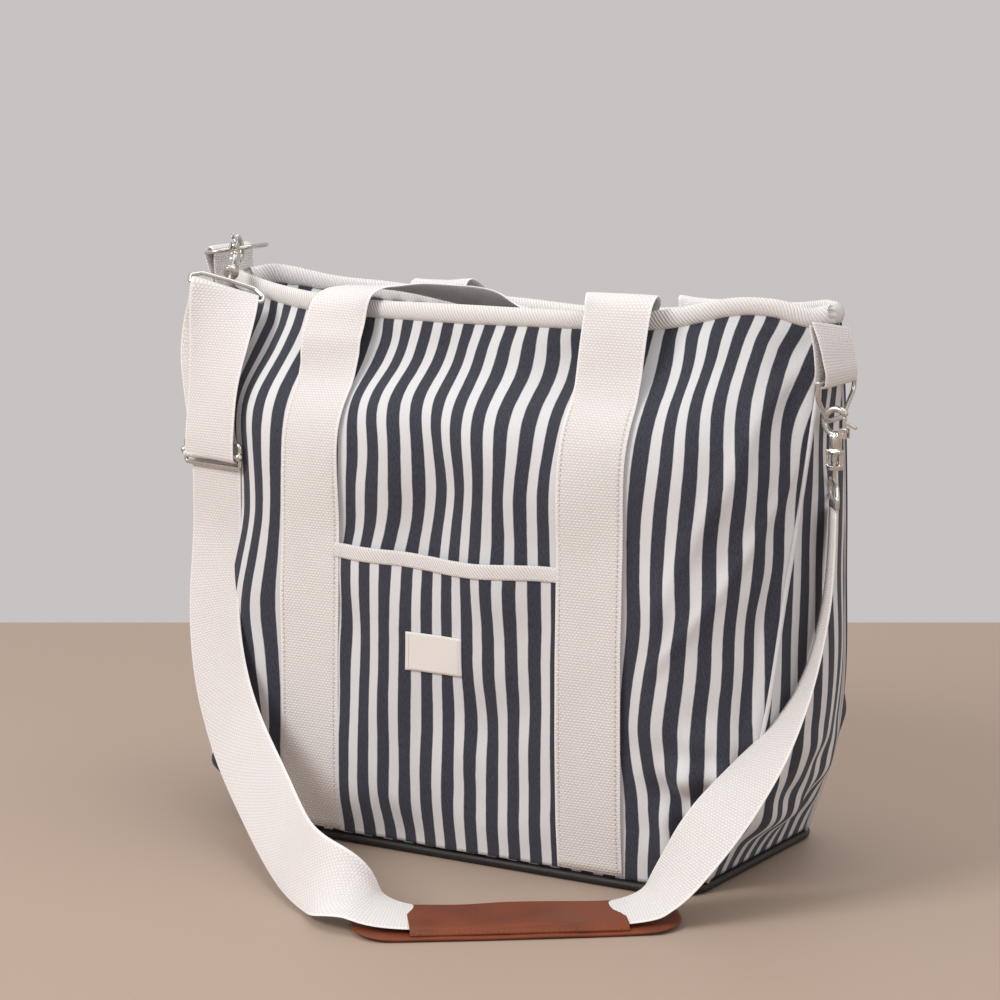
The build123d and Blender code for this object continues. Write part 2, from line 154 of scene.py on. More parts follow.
def mesh(name, points, faces, uv=None, material=None):
    """Object from points in mm, faces and one uv in metres per point."""
    data = bpy.data.meshes.new(name)
    places = (np.asarray(points, float) * MM).tolist()
    data.from_pydata(places, [], [list(map(int, f)) for f in faces])
    if uv is not None:
        layer = data.uv_layers.new(name="UVMap")
        loops = np.zeros(len(data.loops), int)
        data.loops.foreach_get("vertex_index", loops)
        layer.data.foreach_set("uv", (np.asarray(uv, float)[loops] * MM).ravel())
    data.polygons.foreach_set("use_smooth", [True] * len(data.polygons))
    data.update()
    if material:
        data.materials.append(material)
    return add_object(name, data)


def grid_faces(rows, cols, wrap_rows=False, wrap_cols=False):
    """Quads of a grid of points."""
    faces = []
    for r in range(rows if wrap_rows else rows - 1):
        for c in range(cols if wrap_cols else cols - 1):
            here, above, c2 = r * cols, (r + 1) % rows * cols, (c + 1) % cols
            faces.append((here + c, here + c2, above + c2, above + c))
    return faces


def grid_normals(p):
    """Outward normal of each point of a grid p[row, col]."""
    du = np.gradient(p, axis=1)
    dv = np.gradient(p, axis=0)
    return unit(np.cross(du, dv))


def cloth_sheet(name, p, uv, thickness, material, flip=False):
    """Closed thin sheet: the grid p is its outer face, the inner one lies a thickness behind."""
    rows, cols = p.shape[:2]
    n = grid_normals(p) * (-1 if flip else 1)
    inner = p - n * thickness
    count = rows * cols
    faces = grid_faces(rows, cols)
    faces += [tuple(i + count for i in f[::-1]) for f in faces]
    edge = list(range(cols)) + [r * cols + cols - 1 for r in range(1, rows)]
    edge += [(rows - 1) * cols + c for c in range(cols - 2, -1, -1)]
    edge += [r * cols for r in range(rows - 2, 0, -1)]
    faces += [(b, a, a + count, b + count) for a, b in zip(edge, edge[1:] + edge[:1])]
    if flip:
        faces = [f[::-1] for f in faces]
    points = np.concatenate([p.reshape(-1, 3), inner.reshape(-1, 3)])
    return mesh(name, points, faces, np.concatenate([uv.reshape(-1, 2)] * 2), material)


def capped_tube(name, p, uv, ends, material, flip=False):
    """Tube through the rings p[row, col], with a fan of faces to a middle point at each end."""
    rows, cols = p.shape[:2]
    faces = grid_faces(rows, cols, wrap_cols=True)
    points = np.concatenate([p.reshape(-1, 3), *ends])
    uvs = np.concatenate([uv.reshape(-1, 2), uv[:1].mean(1), uv[-1:].mean(1)])
    first, last, top = rows * cols, rows * cols + 1, (rows - 1) * cols
    faces += [(c, first, (c + 1) % cols) for c in range(cols)]
    faces += [(top + (c + 1) % cols, last, top + c) for c in range(cols)]
    if flip:
        faces = [f[::-1] for f in faces]
    return mesh(name, points, faces, uvs, material)


def strip(name, centres, across, material, width=WEB, thickness=2.0, count=40, waves=None):
    """Webbing along a line of centres, with a width direction at each or one for all."""
    centres = np.asarray(centres, float)
    run = unit(np.gradient(centres, axis=0))
    side = np.broadcast_to(np.asarray(across, float), run.shape)
    side = unit(side - run * np.sum(side * run, 1, keepdims=True))
    up = np.cross(run, side)
    along = travelled(centres)[:, None]
    t = np.linspace(0, 2 * math.pi, count, endpoint=False)
    out = width / 2 * squared(np.cos(t), EDGE_POWER)[None]
    rise = thickness / 2 * squared(np.sin(t), FACE_POWER)[None]
    p = centres[:, None] + side[:, None] * out[..., None] + up[:, None] * rise[..., None]
    if waves is not None:
        p = p + up[:, None] * waves(out, along)[..., None]
    uv = np.stack(np.broadcast_arrays(out, along), -1)
    return capped_tube(name, p, uv, (p[:1].mean(1), p[-1:].mean(1)), material, flip=True)


def rope(name, centres, radius, material, closed=False, sides=16, flat=1.0, up_hint=(0, 0, 1)):
    """Round or oval roll along a line. The radius may vary, and flat is height over thickness."""
    centres = np.asarray(centres, float)
    if closed:
        padded = np.concatenate([centres[-1:], centres, centres[:1]])
        run = unit(padded[2:] - padded[:-2])
    else:
        run = unit(np.gradient(centres, axis=0))
    up = np.broadcast_to(np.asarray(up_hint, float), run.shape)
    side = unit(np.cross(run, up))
    up = np.cross(side, run)
    radius = np.broadcast_to(radius, len(centres)).astype(float)
    t = np.linspace(0, 2 * math.pi, sides, endpoint=False) - math.pi / 2
    ring = side[:, None] * np.cos(t)[None, :, None] + up[:, None] * flat * np.sin(t)[None, :, None]
    p = centres[:, None] + radius[:, None, None] * ring
    uv = np.stack(np.broadcast_arrays((t * radius.mean())[None], travelled(centres)[:, None]), -1)
    if closed:
        faces = grid_faces(*p.shape[:2], wrap_rows=True, wrap_cols=True)
        return mesh(name, p.reshape(-1, 3), faces, uv.reshape(-1, 2), material)
    return capped_tube(name, p, uv, (centres[:1], centres[-1:]), material)


def join(name, parts):
    """One object from several meshes."""
    bpy.ops.object.select_all(action="DESELECT")
    for part in parts:
        part.select_set(True)
    bpy.context.view_layer.objects.active = parts[0]
    bpy.ops.object.join()
    parts[0].name = name
    parts[0].data.name = name
    return parts[0]


# ---- node materials ----
class Nodes:
    """Short way to write a node tree."""

    def __init__(self, name):
        self.material = bpy.data.materials.new(name)
        self.material.use_nodes = True
        self.tree = self.material.node_tree
        self.shader = self.tree.nodes["Principled BSDF"]

    def feed(self, inputs, values):
        """Set inputs from numbers, colours or other nodes' outputs."""
        for key, value in values.items():
            if isinstance(value, (int, float)):
                inputs[key].default_value = value
            elif isinstance(value, tuple):
                inputs[key].default_value = (*value, 1)
            else:
                self.tree.links.new(value, inputs[key])

    def node(self, kind, inputs=(), **settings):
        n = self.tree.nodes.new("ShaderNode" + kind)
        for key, value in settings.items():
            setattr(n, key, value)
        self.feed(n.inputs, dict(inputs))
        return n

    def math(self, operation, *values):
        return self.node("Math", enumerate(values), operation=operation).outputs[0]

    def mix(self, share, a, b, blend="MIX"):
        inputs = {0: share, 6: a, 7: b}
        return self.node("Mix", inputs, data_type="RGBA", blend_type=blend).outputs[2]

    def two_tone(self, share, dark, tone):
        """Mix of two colours given as 0-255 values."""
        return self.mix(share, srgb(*dark), srgb(*tone))

    def uv(self):
        place = self.node("UVMap", uv_map="UVMap").outputs[0]
        return self.node("SeparateXYZ", {0: place}).outputs[:2]

    def object_place(self):
        return self.node("TexCoord").outputs["Object"]

    def noise(self, scale, detail=3.0, rough=0.55, vector=None):
        place = vector if vector is not None else self.object_place()
        inputs = {"Scale": scale, "Detail": detail, "Roughness": rough, "Vector": place}
        return self.node("TexNoise", inputs).outputs[0]

    def vector(self, x, y, z=0.0):
        return self.node("CombineXYZ", enumerate((x, y, z))).outputs[0]

    def thread_noise(self, u, v, scale_u, scale_v, detail=2.0, rough=0.6):
        """Noise stretched along the cloth's own directions."""
        place = self.vector(self.math("MULTIPLY", u, scale_u), self.math("MULTIPLY", v, scale_v))
        return self.noise(1.0, detail, rough, place)

    def patched(self, color, scale, low, high, darkest):
        """Colour with wide, faintly darker patches."""
        patch = self.spread(self.noise(scale, 3.0), low, high, darkest, 1.0)
        return self.mix(1.0, color, self.vector(patch, patch, patch), "MULTIPLY")

    def spread(self, value, low, high, to_low=0.0, to_high=1.0):
        """Stretch of values from low..high to to_low..to_high, clipped at both ends."""
        inputs = enumerate((value, low, high, to_low, to_high))
        return self.node("MapRange", inputs, clamp=True).outputs[0]

    def wave(self, value, period, phase=0.0):
        """Sine from -1 to 1 with a period in metres."""
        return self.math("SINE", self.math("MULTIPLY_ADD", value, 2 * math.pi / period, phase))

    def bump(self, height, distance, strength):
        inputs = {"Height": height, "Distance": distance, "Strength": strength}
        return self.node("Bump", inputs).outputs[0]

    def finish(self, color, rough, normal=None, metallic=0.0, sheen=0.0, specular=0.5):
        inputs = {"Base Color": color, "Roughness": rough, "Metallic": metallic,
                  "Specular IOR Level": specular}
        if sheen:
            inputs.update({"Sheen Weight": sheen, "Sheen Roughness": 0.5})
        if normal is not None:
            inputs["Normal"] = normal
        self.feed(self.shader.inputs, inputs)
        return self.material


def srgb(*values):
    """Linear colour from 0-255 values."""
    shares = [v / 255 for v in values]
    return tuple(v / 12.92 if v <= 0.04045 else ((v + 0.055) / 1.055) ** 2.4 for v in shares)


def weave_height(m, u, v, period):
    """Plain weave: threads over and under, as a height."""
    return m.math("MULTIPLY", m.wave(u, period), m.wave(v, period))


def canvas_material():
    """Navy and off-white woven stripes, with a heathered navy."""
    m = Nodes("striped_canvas")
    u, v = m.uv()
    wobble = m.noise(90.0, 2.0)
    shifted = m.math("MULTIPLY_ADD", wobble, 0.0007, u)
    cycle = m.math("FRACT", m.math("DIVIDE", shifted, STRIPE * MM))
    away = m.math("ABSOLUTE", m.math("SUBTRACT", cycle, 0.5))
    half_navy, soft_edge = 0.28, 0.018
    mask = m.spread(away, half_navy - soft_edge, half_navy + soft_edge, 1.0, 0.0)
    fine = m.thread_noise(u, v, 900.0, 2600.0, 1.0, 0.5)
    slub = m.thread_noise(u, v, 2200.0, 260.0)
    threads = m.math("MULTIPLY_ADD", slub, 0.4, m.math("MULTIPLY", fine, 0.6))
    navy = m.two_tone(m.spread(threads, 0.36, 0.66), (36, 37, 45), (76, 78, 90))
    white = m.two_tone(fine, (203, 203, 205), (236, 236, 238))
    color = m.patched(m.mix(mask, white, navy), 9.0, 0.35, 0.7, 0.93)
    height = m.math("MULTIPLY_ADD", fine, 1.2, weave_height(m, u, v, 0.0009))
    normal = m.bump(height, 0.00012, 0.55)
    return m.finish(color, 0.88, normal, sheen=0.12, specular=0.25)


def webbing_material():
    """Ribbed cotton webbing: short picks in offset rows, with a plain selvedge."""
    m = Nodes("cream_webbing")
    u, v = m.uv()
    pick_v, pick_u, selvedge = 0.0019, 0.0029, 0.0228
    row = m.math("FLOOR", m.math("DIVIDE", v, pick_v))
    odd = m.math("MULTIPLY", m.math("FLOORED_MODULO", row, 2.0), pick_u / 2)
    across = m.wave(m.math("ADD", u, odd), pick_u)
    ridge = m.wave(v, pick_v, -math.pi / 2)
    half_up = m.math("MULTIPLY_ADD", across, 0.5, 0.5)
    pick = m.math("MULTIPLY", half_up, m.math("MULTIPLY_ADD", ridge, 0.5, 0.5))
    edge = m.spread(m.math("ABSOLUTE", u), selvedge, selvedge + 0.0008)
    height = m.mix(edge, pick, m.math("MULTIPLY_ADD", m.wave(v, 0.0021), 0.25, 0.6))
    fuzz = m.thread_noise(u, v, 1600.0, 1600.0)
    # colour follows the weave height: darker in the hollows between the picks and lighter on the
    # raised picks, painted shade and highlight of the weave; the fuzz adds random tone
    shade = m.math("MULTIPLY_ADD", fuzz, 0.35, m.math("MULTIPLY", height, 0.8))
    color = m.two_tone(m.spread(shade, 0.08, 0.55), (209, 204, 201), (234, 231, 230))
    color = m.patched(color, 14.0, 0.3, 0.7, 0.95)
    normal = m.bump(m.math("MULTIPLY_ADD", fuzz, 0.3, height), 0.0005, 0.7)
    m.shader.inputs["Subsurface Weight"].default_value = 0.35
    m.shader.inputs["Subsurface Radius"].default_value = (1.0, 0.8, 0.6)
    m.shader.inputs["Subsurface Scale"].default_value = 0.0025
    return m.finish(color, 0.85, normal, sheen=0.15, specular=0.25)


def twill_material():
    """Cream twill tape: fine diagonal ribs."""
    m = Nodes("cream_twill")
    u, v = m.uv()
    rib = m.wave(m.math("MULTIPLY_ADD", u, 0.8, v), 0.0024)
    fuzz = m.thread_noise(u, v, 1500.0, 1500.0)
    # colour follows the rib wave that also drives the bump: lighter on the rib crests and darker in
    # the grooves, painted highlight and shade of the ribs; the fuzz adds random tone
    shade = m.math("ADD", m.math("MULTIPLY_ADD", rib, 0.3, 0.5), m.math("MULTIPLY", fuzz, 0.3))
    color = m.two_tone(m.spread(shade, 0.1, 0.8), (204, 199, 196), (237, 234, 232))
    normal = m.bump(m.math("ADD", rib, fuzz), 0.00035, 0.8)
    return m.finish(color, 0.85, normal, sheen=0.15, specular=0.25)


def plain_cloth_material(name, tone, dark):
    """Plain woven cloth in one colour."""
    m = Nodes(name)
    u, v = m.uv()
    weave = weave_height(m, u, v, 0.0007)
    fuzz = m.thread_noise(u, v, 2500.0, 2500.0)
    color = m.two_tone(m.spread(fuzz, 0.3, 0.7), dark, tone)
    normal = m.bump(m.math("ADD", weave, fuzz), 0.0001, 0.5)
    return m.finish(color, 0.88, normal, sheen=0.1, specular=0.25)


def cad_cloth_material(name, tone, dark):
    """Woven cloth for CAD shapes, which have no unwrapped coordinates."""
    m = Nodes(name)
    x, y, z = m.node("SeparateXYZ", {0: m.object_place()}).outputs
    weave = weave_height(m, x, m.math("ADD", y, z), 0.0012)
    fuzz = m.noise(1800.0, 2.0)
    color = m.two_tone(m.spread(fuzz, 0.3, 0.7), dark, tone)
    normal = m.bump(m.math("ADD", weave, fuzz), 0.0002, 0.5)
    return m.finish(color, 0.88, normal, sheen=0.1, specular=0.25)


def leather_material(name, tone, dark, grain=900.0, rough=0.52):
    """Leather: fine cells, creases and slight colour clouds."""
    m = Nodes(name)
    inputs = {"Scale": grain, "Vector": m.object_place()}
    cells = m.node("TexVoronoi", inputs, feature="DISTANCE_TO_EDGE")
    edge = m.spread(cells.outputs["Distance"], 0.0, 0.25)
    cloud = m.noise(35.0, 4.0)
    fine = m.noise(grain * 2.0, 2.0)
    shade = m.math("MULTIPLY_ADD", cloud, 0.8, m.math("MULTIPLY", edge, 0.2))
    color = m.two_tone(m.spread(shade, 0.3, 0.75), dark, tone)
    normal = m.bump(m.math("MULTIPLY_ADD", fine, 0.4, edge), 0.00012, 0.5)
    roughness = m.spread(cloud, 0.3, 0.7, rough - 0.07, rough + 0.08)
    return m.finish(color, roughness, normal, specular=0.4)


def nickel_material():
    """Bright nickel plate with faint polish marks."""
    m = Nodes("nickel")
    cloud = m.noise(220.0, 3.0)
    marks = m.noise(1500.0, 2.0)
    color = m.two_tone(cloud, (196, 192, 186), (222, 219, 214))
    roughness = m.spread(marks, 0.3, 0.7, 0.17, 0.33)
    normal = m.bump(marks, 0.00003, 0.3)
    return m.finish(color, roughness, normal, metallic=1.0)


def plastic_material(name, tone, dark, rough=0.45):
    """Moulded plastic with a faint texture."""
    m = Nodes(name)
    grain = m.noise(1600.0, 2.0)
    roughness = m.spread(grain, 0.3, 0.7, rough - 0.05, rough + 0.08)
    return m.finish(m.two_tone(grain, dark, tone), roughness, m.bump(grain, 0.00005, 0.5))


def thread_material(name, tone, dark, rough, **shine):
    """Twisted sewing thread."""
    m = Nodes(name)
    fuzz = m.noise(3000.0, 2.0)
    return m.finish(m.two_tone(fuzz, dark, tone), rough, m.bump(fuzz, 0.0001, 0.6), **shine)


CANVAS = canvas_material()
WEBBING = webbing_material()
TWILL = twill_material()
LABEL = plain_cloth_material("label_cloth", (238, 234, 230), (224, 219, 214))
LINING = plain_cloth_material("lining_cloth", (200, 186, 168), (176, 160, 140))
ZIP_TAPE = cad_cloth_material("zip_tape", (52, 54, 64), (34, 36, 46))
ZIP_NYLON = plastic_material("zip_nylon", (46, 48, 58), (30, 32, 40))
BOARD = plastic_material("stiffener_board", (92, 90, 88), (70, 68, 66), 0.6)
TAN = leather_material("tan_leather", (132, 62, 28), (101, 46, 20))
BLACK = leather_material("black_leatherette", (44, 40, 39), (24, 22, 22), 1100.0, 0.45)
NICKEL = nickel_material()
THREAD = thread_material("thread", (236, 232, 226), (190, 184, 176), 0.8, sheen=0.2, specular=0.3)
TAN_THREAD = thread_material("tan_thread", (166, 108, 72), (120, 72, 46), 0.75)
LOOKS = [CANVAS, WEBBING, TWILL, LABEL, LINING, ZIP_TAPE, ZIP_NYLON, BOARD, TAN, BLACK, NICKEL]
# Blender adds a number to a name that one of the CAD's own materials has
SLOT = {look: look.name.split(".")[0] for look in LOOKS}
SLOT[THREAD] = "cream_twill"


def place_piece(obj, body, *nodes, slot=None):
    """Ride on a body and stand for CAD nodes."""
    if body:
        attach(obj, body)
    if nodes:
        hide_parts(*nodes)
    return obj


# ---- body surface ----
ROWS, COLS = 150, 190


def rim_height(x, front):
    """Height of the mouth's edge: sags in the middle and rises to an ear at each end."""
    x = np.asarray(x, float)
    share = np.abs(x) / SEAM_X[-1]
    base = 374.0 + np.where(x < 0, 6.0, 13.0) * share**2.4
    if front:
        base = base + 7.0 * bump_at(x, 186, 34) - 7.0 * bump_at(x, 232, 16)
        base = base - 3.0 * bump_at(x, -125, 60)
    else:
        base = base + 6.0 * bump_at(x, -222, 38) - 10.0 * bump_at(x, 30, 130)
    return base


def mouth_y(x, front):
    """Half depth of the mouth at a place along it."""
    share = np.clip(np.abs(x) / SEAM_X[-1], 0, 1)
    lens = SEAM_Y[-1] + (HALF_DEPTH[-1] - SEAM_Y[-1]) * (1 - share ** BOXY[-1]) ** ROUND[-1]
    return -lens if front else lens


def plan_curve(z, front):
    """Even places along the panel's plan at a height: x, y and signed length from the middle."""
    levels = (SEAM_X, HALF_DEPTH, SEAM_Y, BOXY, ROUND)
    c, b, d, p, q = [float(smooth_curve(LEVEL_Z, level, z)) for level in levels]
    x = c * np.sin(np.linspace(-math.pi / 2, math.pi / 2, 800))
    y = d + (b - d) * np.maximum(1 - np.abs(x / c) ** p, 0) ** q
    along = travelled(np.stack([x, y], 1))
    even = np.linspace(0, along[-1], COLS)
    xs, ys = np.interp(even, along, x), np.interp(even, along, y)
    return xs, (-ys if front else ys), even - along[-1] / 2


def panel_grid(front, seed):
    """Outer face of the front or back panel with its folds, and its uv in mm."""
    v = np.linspace(0, 1, ROWS) ** 0.96
    p, uv = np.zeros((ROWS, COLS, 3)), np.zeros((ROWS, COLS, 2))
    for i, share in enumerate(v):
        z = LEVEL_Z[0] + share * (LEVEL_Z[-1] - LEVEL_Z[0])
        x, y, s = plan_curve(z, front)
        lift = (rim_height(x, front) - LEVEL_Z[-1]) * ramp(share, 0.55, 1.0)
        p[i] = np.stack([x, y, z + lift], 1)
        uv[i] = np.stack([s, np.full_like(s, z)], 1)
    n = grid_normals(p) * (1 if front else -1)
    n[..., 2] *= 0.4
    s, z = uv[..., 0], uv[..., 1]
    edge = np.abs(s) / np.abs(s).max(1, keepdims=True)
    free = (1 - ramp(edge, 0.93, 1.0)) * ramp(z, 8, 45) * (1 - ramp(z, 352, 371))
    broad = Noise(seed, 42, 70)(s, z)
    long = Noise(seed + 1, 17, 95)(s, z)
    small = Noise(seed + 2, 12, 17)(s, z)
    folds = 3.2 * broad + 2.0 * long + 0.6 * small
    held = np.exp(-((np.abs(np.abs(s) - LEG_X) / 30.0) ** 4)) * (1 - ramp(z, 352, 374))
    low = ramp(z, 8, 30) * (1 - ramp(z, 60, 130))
    corners = bump_at(s, -205, 38) + 1.1 * bump_at(s, 205, 38)
    crush = Noise(seed + 3, 13, 10)(s + 0.4 * z, z) * corners * low
    sagging = bump_at(s, -30, 66) + bump_at(s, 70, 40) + 0.8 * bump_at(s, 180, 34)
    drop = bump_at(z, 341, 18) * sagging
    swell = bump_at(z, 300, 30) * (bump_at(s, -20, 80) + 0.7 * bump_at(s, 185, 30))
    drag = bump_at(s - 0.55 * (z - 250), 190, 9) + 0.8 * bump_at(s - 0.75 * (z - 200), 196, 7)
    drag = drag * ramp(s, 150, 165) * ramp(z, 120, 170)
    amount = folds * free * (1 - 0.75 * held) + (6.0 * crush + 3.2 * drag) * free
    amount = amount - 6.0 * drop + 4.0 * swell * free
    clear = bump_at(s, -200, 42) * bump_at(z, 235, 62) if front else 0.0
    amount = amount * (1 - 0.85 * clear) - 3.0 * clear
    p = p + n * amount[..., None]
    sway = Noise(seed + 4, 60, 34)(s, z) * 2.6 + Noise(seed + 5, 30, 16)(s, z) * 0.7
    hang = -6.0 * bump_at(z, 318, 26) * (bump_at(s, -20, 100) + 0.6 * bump_at(s, 190, 40))
    p[..., 0] += (sway + (hang if front else 0)) * free * (1 - held)
    return p, uv


FRONT, FRONT_UV = panel_grid(True, 11)
BACK, BACK_UV = panel_grid(False, 41)


def surface_y(grid, x, z):
    """y of a panel at places (x, z): the row comes from the heights of the nearest column."""
    x, z = np.broadcast_arrays(np.asarray(x, float), np.asarray(z, float))
    out = np.zeros(x.shape)
    for idx in np.ndindex(x.shape):
        column = np.argmin(np.abs(grid[ROWS // 2, :, 0] - x[idx]))
        r = np.clip(np.interp(z[idx], grid[:, column, 2], np.arange(ROWS)), 0, ROWS - 1.001)
        i = int(r)
        a = np.interp(x[idx], grid[i, :, 0], grid[i, :, 1])
        b = np.interp(x[idx], grid[i + 1, :, 0], grid[i + 1, :, 1])
        out[idx] = a + (r - i) * (b - a)
    return out


def make_panels():
    """Front and back cloth, gussets and the welts between them."""
    panels = (("front_panel", FRONT, FRONT_UV, False), ("back_panel", BACK, BACK_UV, True))
    for name, grid, uv, flip in panels:
        sheet = cloth_sheet(f"{name}_cloth", grid, uv, PANEL_THICK, CANVAS, flip)
        place_piece(sheet, "bag", name)
    cols = 60
    for word, side, col in (("left", -1, 0), ("right", 1, COLS - 1)):
        a, b = FRONT[:, col], BACK[:, col]
        t = np.linspace(0, 1, cols)
        p = a[:, None] * (1 - t)[None, :, None] + b[:, None] * t[None, :, None]
        depth = np.abs(b[:, 1] - a[:, 1])
        share = 1 - (2 * t - 1) ** 2
        z = p[..., 2]
        y = p[..., 1]
        held = ramp(z, 8, 40) * (1 - ramp(z, 320, 365))
        bulge = 0.10 * depth[:, None] * share[None] * ramp(z, 8, 60) * (1 - ramp(z, 250, 370))
        noise = Noise(70 + side, 26, 60)(y, z) * 2.4 + Noise(75 + side, 12, 20)(y, z) * 0.6
        crush = Noise(80 + side, 15, 10)(y, z) * 5.0 * (1 - ramp(z, 50, 110)) * ramp(z, 8, 30)
        p[..., 0] += side * (bulge + (noise + crush) * share[None] * held)
        uv = np.stack([y, z], -1)
        sheet = cloth_sheet(f"{word}_gusset_cloth", p, uv, PANEL_THICK, CANVAS, side < 0)
        place_piece(sheet, "bag", f"{word}_gusset")
        for grid, seam in ((FRONT, "front"), (BACK, "back")):
            line = grid[:, col].copy()
            line[:, 0] += side * 0.6
            welt = rope(f"{word}_{seam}_seam", line[::2], 1.7, CANVAS, sides=8)
            place_piece(welt, "bag")


def make_lining():
    """Lining sewn inside the walls, a little smaller all round."""
    step = 3
    f, b = FRONT[::step, ::step], BACK[::step, ::-step]
    ring = np.concatenate([f, b], 1)
    flat = ring.copy()
    flat[..., 2] = 0
    inset, floor_z, top_z = 7.5, 8.5, 368
    p = ring - unit(flat) * inset
    p[..., 2] = np.clip(p[..., 2], floor_z, top_z)
    rows, cols = p.shape[:2]
    faces = grid_faces(rows, cols, wrap_cols=True)
    points = np.concatenate([p.reshape(-1, 3), [[0, 0, floor_z]]])
    faces += [((c + 1) % cols, c, rows * cols) for c in range(cols)]
    along = np.cumsum(np.linalg.norm(np.diff(p, axis=1, prepend=p[:, :1]), axis=2), 1)
    uv = np.concatenate([np.stack([along, p[..., 2]], -1).reshape(-1, 2), [[0, 0]]])
    cloth = mesh("lining_cloth", points, faces, uv, LINING)
    modify(cloth, "SOLIDIFY", thickness=0.9 * MM)
    place_piece(cloth, "bag", "lining")


# ---- rim ----
def mouth_line(count=220):
    """Closed line round the mouth, anticlockwise from above, starting at the left end."""
    t = np.linspace(0, math.pi, count)
    x = -np.cos(t) * (SEAM_X[-1] + 1.5)
    inner = np.clip(x, -SEAM_X[-1], SEAM_X[-1])
    front, back = [np.stack([x, mouth_y(inner, side), rim_height(inner, side)], 1)
                   for side in (True, False)]
    line = np.concatenate([front[:-1], back[:0:-1]])
    ends = ramp(np.abs(line[:, 0]), 236, 245)
    line[:, 1] *= 1 - 0.35 * ends
    blend = ramp(np.abs(line[:, 0]), 225, 244)
    mean = (rim_height(line[:, 0], True) + rim_height(line[:, 0], False)) / 2
    line[:, 2] = line[:, 2] * (1 - blend) + mean * blend
    return line


def make_rim():
    """Padded twill binding round the mouth."""
    line = mouth_line()
    s = np.arange(len(line))
    wobble = Noise(5, 9, 9)(s, s * 0)
    line[:, 2] += 3.2 + 0.5 * wobble
    line[:, 1] += 0.5 * np.roll(wobble, 9)
    radius = 4.3 + 0.25 * np.roll(wobble, 31)
    roll = rope("rim_binding_roll", line, radius, TWILL, closed=True, sides=20, flat=1.55)
    place_piece(roll, "bag", "rim_binding")


# ---- top panels and zip ----
def make_top():
    """Striped flaps sloping from the binding to the hidden zip."""
    cols, rows = 150, 16
    x = np.linspace(-232, 232, cols)
    for word, front in (("front", True), ("back", False)):
        sign = -1 if front else 1
        t = np.linspace(0, 1, rows)
        outer = np.abs(mouth_y(x, front)) - 1.0
        inner = np.minimum(2.2, outer)
        y = outer[None] * (1 - t)[:, None] + inner[None] * t[:, None]
        high = rim_height(x, front) - 3.0
        low = 363.4 + 10 * ramp(np.abs(x), 208, 232)
        drop = 1 - (1 - t) ** 1.7
        z = high[None] * (1 - drop)[:, None] + low[None] * drop[:, None]
        z = z + Noise(90 + sign, 24, 18)(x[None], y) * 1.3 * np.sin(math.pi * t)[:, None]
        p = np.stack([np.broadcast_to(x[None], y.shape), sign * y, z], -1)
        uv = np.stack([p[..., 0] * 0.97 + 3 * t[:, None] * sign, y], -1)
        sheet = cloth_sheet(f"top_panel_{word}_cloth", p, uv, 1.0, CANVAS, not front)
        place_piece(sheet, "bag", f"top_panel_{word}")


def make_zip():
    """Coil turns either side of the zip's middle."""
    low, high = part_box("zip_coil_front")
    pitch = 1.5
    count = int((high.x - low.x) / MM / pitch)
    z = (low.z + high.z) / 2 / MM
    angle = np.linspace(0, count * 2 * math.pi, count * 8)
    for word, side in (("front", -1), ("back", 1)):
        x = low.x / MM + pitch * angle / (2 * math.pi)
        y = side * (2.0 + 0.85 * np.cos(angle))
        line = np.stack([x, y, z + 0.75 * np.sin(angle)], 1)
        coil = rope(f"zip_coil_{word}_turns", line, 0.3, ZIP_NYLON, sides=5, up_hint=(1, 0.2, 0))
        place_piece(coil, "bag", f"zip_coil_{word}")


# ---- stitches ----
def stitches(name, line, normal, spacing=3.4, length=2.5, radius=0.32, lift=0.12, look=THREAD):
    """Row of short thread stitches along a line of points, one mesh."""
    line = np.asarray(line, float)
    normal = np.broadcast_to(np.asarray(normal, float), line.shape)
    along = travelled(line)
    starts = np.arange(spacing * 0.5, along[-1] - length, spacing)
    turns = [a * math.pi / 3 for a in range(6)]
    rings = ((0.0, 0.35, -0.1), (0.4, 1.0, lift), (0.6, 1.0, lift), (1.0, 0.35, -0.1))
    points, faces = [], []
    for s in starts:
        tail, head = np.stack([np.interp([s, s + length], along, line[:, k]) for k in range(3)], 1)
        n = unit(np.array([np.interp(s, along, normal[:, k]) for k in range(3)]))
        side = np.cross(unit(head - tail), n)
        base = len(points)
        for share, size, rise in rings:
            centre = tail * (1 - share) + head * share + n * rise
            for t in turns:
                points.append(centre + radius * size * (side * math.cos(t) + n * math.sin(t)))
        faces += [tuple(base + i for i in f) for f in grid_faces(4, 6, wrap_cols=True)]
        faces.append(tuple(base + a for a in range(5, -1, -1)))
        faces.append(tuple(base + 18 + a for a in range(6)))
    uv = np.array([(p[0], p[2]) for p in points])
    return mesh(name, points, faces, uv, look)


# ---- pocket and label ----
POCKET_HALF = 92.0
POCKET_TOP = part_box("pocket_binding")[1].z / MM


def pocket_gap(x, z):
    """How far the pocket cloth stands off the front panel."""
    middle = 1 - np.abs(x / POCKET_HALF) ** 4
    return 1.8 + (3.4 * ramp(z, 90, POCKET_TOP) + 0.8) * middle


def pocket_y(x, z):
    """Outer face of the pocket."""
    ripple = 0.8 * Noise(21, 20, 60)(x, z) * (1 - np.abs(x / POCKET_HALF) ** 6)
    return surface_y(FRONT, x, z) - pocket_gap(x, z) - ripple


